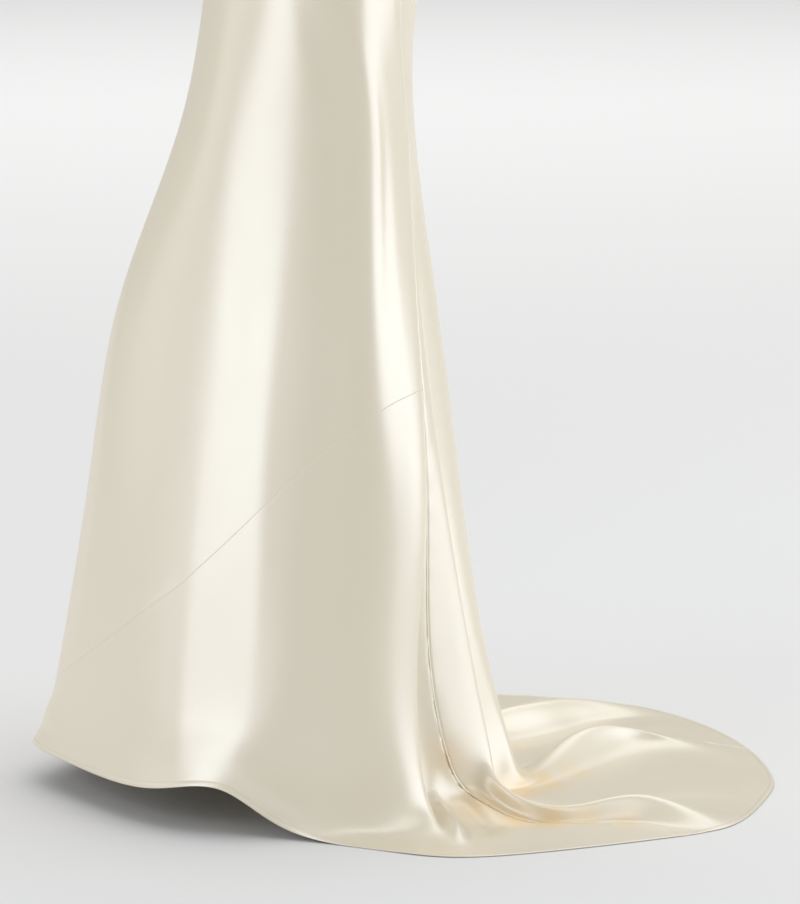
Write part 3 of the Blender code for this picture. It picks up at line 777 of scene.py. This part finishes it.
# %% Table of the strap
# x, y and height above the floor, over the shoulder from the front
STRAP = (
    (0.0840, -0.0880, 1.3900),
    (0.0900, -0.0640, 1.4560),
    (0.0940, -0.0260, 1.4930),
    (0.0950, 0.0080, 1.4975),
    (0.0930, 0.0420, 1.4640),
    (0.0880, 0.0680, 1.4000),
    (0.0820, 0.0790, 1.3200),
)
STRAP_FRONT = 34.0
STRAP_BACK = 132.0


def strap_end(turn):
    """Place on the bodice's top edge where a strap is sewn on."""
    fold = float(np.interp(turn, TURNS, range(FOLD_COUNT + 1)))
    return cloth_points(np.array([fold]), np.array([top_length(fold)]))[0][0]


# %% [markdown]
# A ring of points, wide and flat, is carried along the path. Its two ends meet the bodice where
# the strap is sewn on.

# %% Strap from its path
def make_strap(name, side, node):
    """Flat satin tube over one shoulder."""
    path = np.concatenate([[strap_end(STRAP_FRONT)], STRAP, [strap_end(STRAP_BACK)]])
    at = np.linspace(0.0, len(path) - 1.0, 120)
    line = spline(np.arange(len(path)), path, at)
    ahead = np.gradient(line, axis=0)
    ahead /= np.linalg.norm(ahead, axis=1)[:, None]
    out = np.cross(ahead, (1.0, 0.0, 0.0))
    out *= np.sign((out * (line - (0.09, 0.0, 1.30))).sum(axis=1))[:, None]
    out /= np.linalg.norm(out, axis=1)[:, None]
    across = np.cross(out, ahead)
    rows = []
    for k in range(17):
        turn = 2.0 * math.pi * k / 16.0
        wide = STRAP_WIDTH * 0.5 * math.copysign(abs(math.cos(turn)) ** 0.7, math.cos(turn))
        high = 0.0007 * math.sin(turn)
        rows.append(line + across * wide + out * high)
    points = np.stack(rows, 1)
    points[:, :, 0] *= side
    points[:, :, 2] -= FLOOR_DROP
    faces = [(r * 17 + c, r * 17 + c + 17, r * 17 + c + 18, r * 17 + c + 1)
             for r in range(119) for c in range(16)]
    mesh = bpy.data.meshes.new(name)
    mesh.from_pydata(points.reshape(-1, 3).tolist(), [], faces)
    mesh.update()
    mesh.shade_smooth()
    corners = np.zeros(len(mesh.loops), np.int32)
    mesh.loops.foreach_get("vertex_index", corners)
    places = np.stack([distances(points, 1).ravel(), distances(points, 0).ravel()], 1)
    mesh.uv_layers.new(name="cloth").data.foreach_set("uv", places[corners].ravel())
    strap = bpy.data.objects.new(name, mesh)
    bpy.context.scene.collection.objects.link(strap)
    strap.data.materials.append(satin("ivory_" + name))
    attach(strap, "root")
    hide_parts(node)


make_strap("left_strap_satin", 1.0, "strap_left")
make_strap("right_strap_satin", -1.0, "strap_right")

# %% [markdown]
# ## Stitches of the hem
# The hem is sewn with a small straight stitch in matching thread. One stitch is a short rounded
# bar. Its copies are laid end to end along the hem of each panel and joined into one mesh.

# %% One stitch
bpy.ops.mesh.primitive_uv_sphere_add(segments=6, ring_count=4, radius=0.5, location=(0, 0, 0))
bar = bpy.context.object
STITCH = np.array([v.co for v in bar.data.vertices])
STITCH_FACES = [tuple(f.vertices) for f in bar.data.polygons]
bpy.data.objects.remove(bar)
STITCH *= (0.00045, 0.00035, 0.0024)
print("one stitch", len(STITCH), "points")


# %% [markdown]
# Each stitch lies along the hem, a little over three millimetres from the next, and rests on
# the outer face of the satin.

# %% Stitches along the hem
def hem_stitches(lines):
    """All stitches of the hem as one joined mesh."""
    points = []
    faces = []
    for line, outward in lines:
        steps = np.linalg.norm(np.diff(line, axis=0), axis=1)
        along = np.concatenate([[0.0], np.cumsum(steps)])
        places = np.arange(STITCH_PITCH, along[-1] - STITCH_PITCH, STITCH_PITCH)
        spot = np.stack([np.interp(places, along, line[:, k]) for k in range(3)], 1)
        out = np.stack([np.interp(places, along, outward[:, k]) for k in range(3)], 1)
        out /= np.linalg.norm(out, axis=1)[:, None]
        ahead = np.gradient(spot, axis=0)
        ahead -= out * (ahead * out).sum(axis=1)[:, None]
        ahead /= np.linalg.norm(ahead, axis=1)[:, None]
        side = np.cross(out, ahead)
        spot = spot + out * (SATIN * 0.5 + 0.0001)
        for i in range(len(places)):
            base = len(points) * len(STITCH)
            frame_of = np.stack([side[i], out[i], ahead[i]])
            points.append(spot[i] + STITCH @ frame_of)
            faces += [tuple(base + k for k in f) for f in STITCH_FACES]
    mesh = bpy.data.meshes.new("hem_stitches")
    mesh.from_pydata(np.concatenate(points).tolist(), [], faces)
    mesh.update()
    mesh.shade_smooth()
    thread = bpy.data.objects.new("hem_stitches", mesh)
    bpy.context.scene.collection.objects.link(thread)
    thread.data.materials.append(thread_material())
    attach(thread, "root")
    print("stitches", len(points), "triangles", sum(len(f) - 2 for f in faces))


def thread_material():
    """Twisted ivory thread: a fine mottled tone and a soft gloss."""
    material = bpy.data.materials.new("ivory_thread")
    material.use_nodes = True
    nodes = material.node_tree.nodes
    links = material.node_tree.links
    shader = nodes["Principled BSDF"]
    shader.inputs["Roughness"].default_value = 0.5
    where = nodes.new("ShaderNodeTexCoord")
    twist = nodes.new("ShaderNodeTexNoise")
    twist.inputs["Scale"].default_value = 2400.0
    tone = nodes.new("ShaderNodeMix")
    tone.data_type = "RGBA"
    tone.inputs["A"].default_value = (0.60, 0.53, 0.40, 1.0)
    tone.inputs["B"].default_value = (0.74, 0.68, 0.55, 1.0)
    links.new(where.outputs["Object"], twist.inputs["Vector"])
    links.new(twist.outputs["Fac"], tone.inputs["Factor"])
    links.new(tone.outputs["Result"], shader.inputs["Base Color"])
    return material


hem_stitches(HEM_LINES)

# %% [markdown]
# ## Camera, floor and light
# The camera stands to the wearer's left, a little above knee height, with a long lens. Two large
# soft lights at either side of it draw the satin's bright bands, and a wide pale floor runs out behind.

# %% Camera
camera_data = bpy.data.cameras.new("camera")
camera_data.sensor_width = 36.0
camera_data.lens = 174.0
camera_data.clip_end = 60.0
camera = bpy.data.objects.new("camera", camera_data)
bpy.context.scene.collection.objects.link(camera)
camera.location = (4.6, 0.0, 1.1 - FLOOR_DROP)
camera.rotation_euler = (math.radians(90.0 - 9.21), 0.0, math.radians(90.0 - 1.21))
bpy.context.scene.camera = camera


# %% [markdown]
# The floor is wide and pale. Its colour is painted a little lighter away from the camera, a
# painted falloff of light as on a lit paper sweep.

# %% Floor
def pale_floor():
    """Wide pale floor, its colour painted lighter towards the far side: painted light, as on a lit
    studio sweep.
    """
    bpy.ops.mesh.primitive_plane_add(size=80.0, location=(0.0, 0.0, 0.0))
    floor = bpy.context.object
    floor.name = "studio_floor"
    floor.data.transform(floor.matrix_world)
    for corner in floor.data.vertices:
        corner.co.z = -FLOOR_DROP
    paper = bpy.data.materials.new("pale_paper")
    paper.use_nodes = True
    nodes = paper.node_tree.nodes
    links = paper.node_tree.links
    where = nodes.new("ShaderNodeTexCoord")
    split = nodes.new("ShaderNodeSeparateXYZ")
    span = nodes.new("ShaderNodeMapRange")
    span.inputs["From Min"].default_value = 1.0
    span.inputs["From Max"].default_value = -9.0
    # The ramp's colours are painted light: darker on the near side, lighter far off.
    tone = nodes.new("ShaderNodeValToRGB")
    tone.color_ramp.elements[0].color = (0.750, 0.743, 0.734, 1.0)
    tone.color_ramp.elements[1].color = (0.862, 0.860, 0.857, 1.0)
    links.new(where.outputs["Object"], split.inputs["Vector"])
    links.new(split.outputs["X"], span.inputs["Value"])
    links.new(span.outputs["Result"], tone.inputs["Fac"])
    shader = nodes["Principled BSDF"]
    links.new(tone.outputs["Color"], shader.inputs["Base Color"])
    shader.inputs["Roughness"].default_value = 0.9
    shader.inputs["Specular IOR Level"].default_value = 0.1
    floor.data.materials.append(paper)


pale_floor()


# %% [markdown]
# Satin shows its lights as bands, so their places decide the look. One large light stands in
# front of the gown and one behind it, both slightly cool, a weaker one fills the front edge,
# and small ones open the shadow on the floor and the top of the train.

# %% Lights
def soft_light(name, place, target, width, height, power, colour):
    """Rectangular soft light at a place, turned to a target."""
    data = bpy.data.lights.new(name, "AREA")
    data.shape = "RECTANGLE"
    data.size = width
    data.size_y = height
    data.energy = power
    data.color = colour
    light = bpy.data.objects.new(name, data)
    bpy.context.scene.collection.objects.link(light)
    light.location = place
    light.rotation_euler = (Vector(target) - Vector(place)).to_track_quat("-Z", "Y").to_euler()


SKYLIGHT = (0.92, 0.97, 1.03)
MIDDLE = (0.0, 0.0, -1.1)
WHITE = (1.0, 1.0, 1.0)
# name, place, target, width, height, watts, colour
LIGHTS = (
    ("front_side", (2.7, -3.0, 0.0), MIDDLE, 2.7, 3.2, 58.0, SKYLIGHT),
    ("front_low", (-0.6, -3.8, 0.1), (0.0, -0.3, -1.4), 2.4, 2.4, 10.0, SKYLIGHT),
    ("back_side", (0.4, 3.4, 0.1), MIDDLE, 4.2, 3.2, 82.0, SKYLIGHT),
    ("floor_front", (-0.2, -1.0, 0.7), (-0.1, -0.6, -1.5), 1.6, 1.0, 3.0, WHITE),
    ("above", (1.6, 0.3, 1.7), (0.1, 0.3, -1.5), 1.6, 1.6, 10.0, WHITE),
    ("backdrop", (-9.0, 0.0, 7.0), (-11.0, 0.0, -1.5), 14.0, 14.0, 850.0, WHITE),
)
for light_row in LIGHTS:
    soft_light(*light_row)
print("lights", len(LIGHTS))
world = bpy.data.worlds.new("studio")
world.use_nodes = True
world.node_tree.nodes["Background"].inputs["Color"].default_value = (*WHITE, 1.0)
world.node_tree.nodes["Background"].inputs["Strength"].default_value = 0.42
bpy.context.scene.world = world
bpy.context.scene.view_settings.view_transform = "Standard"
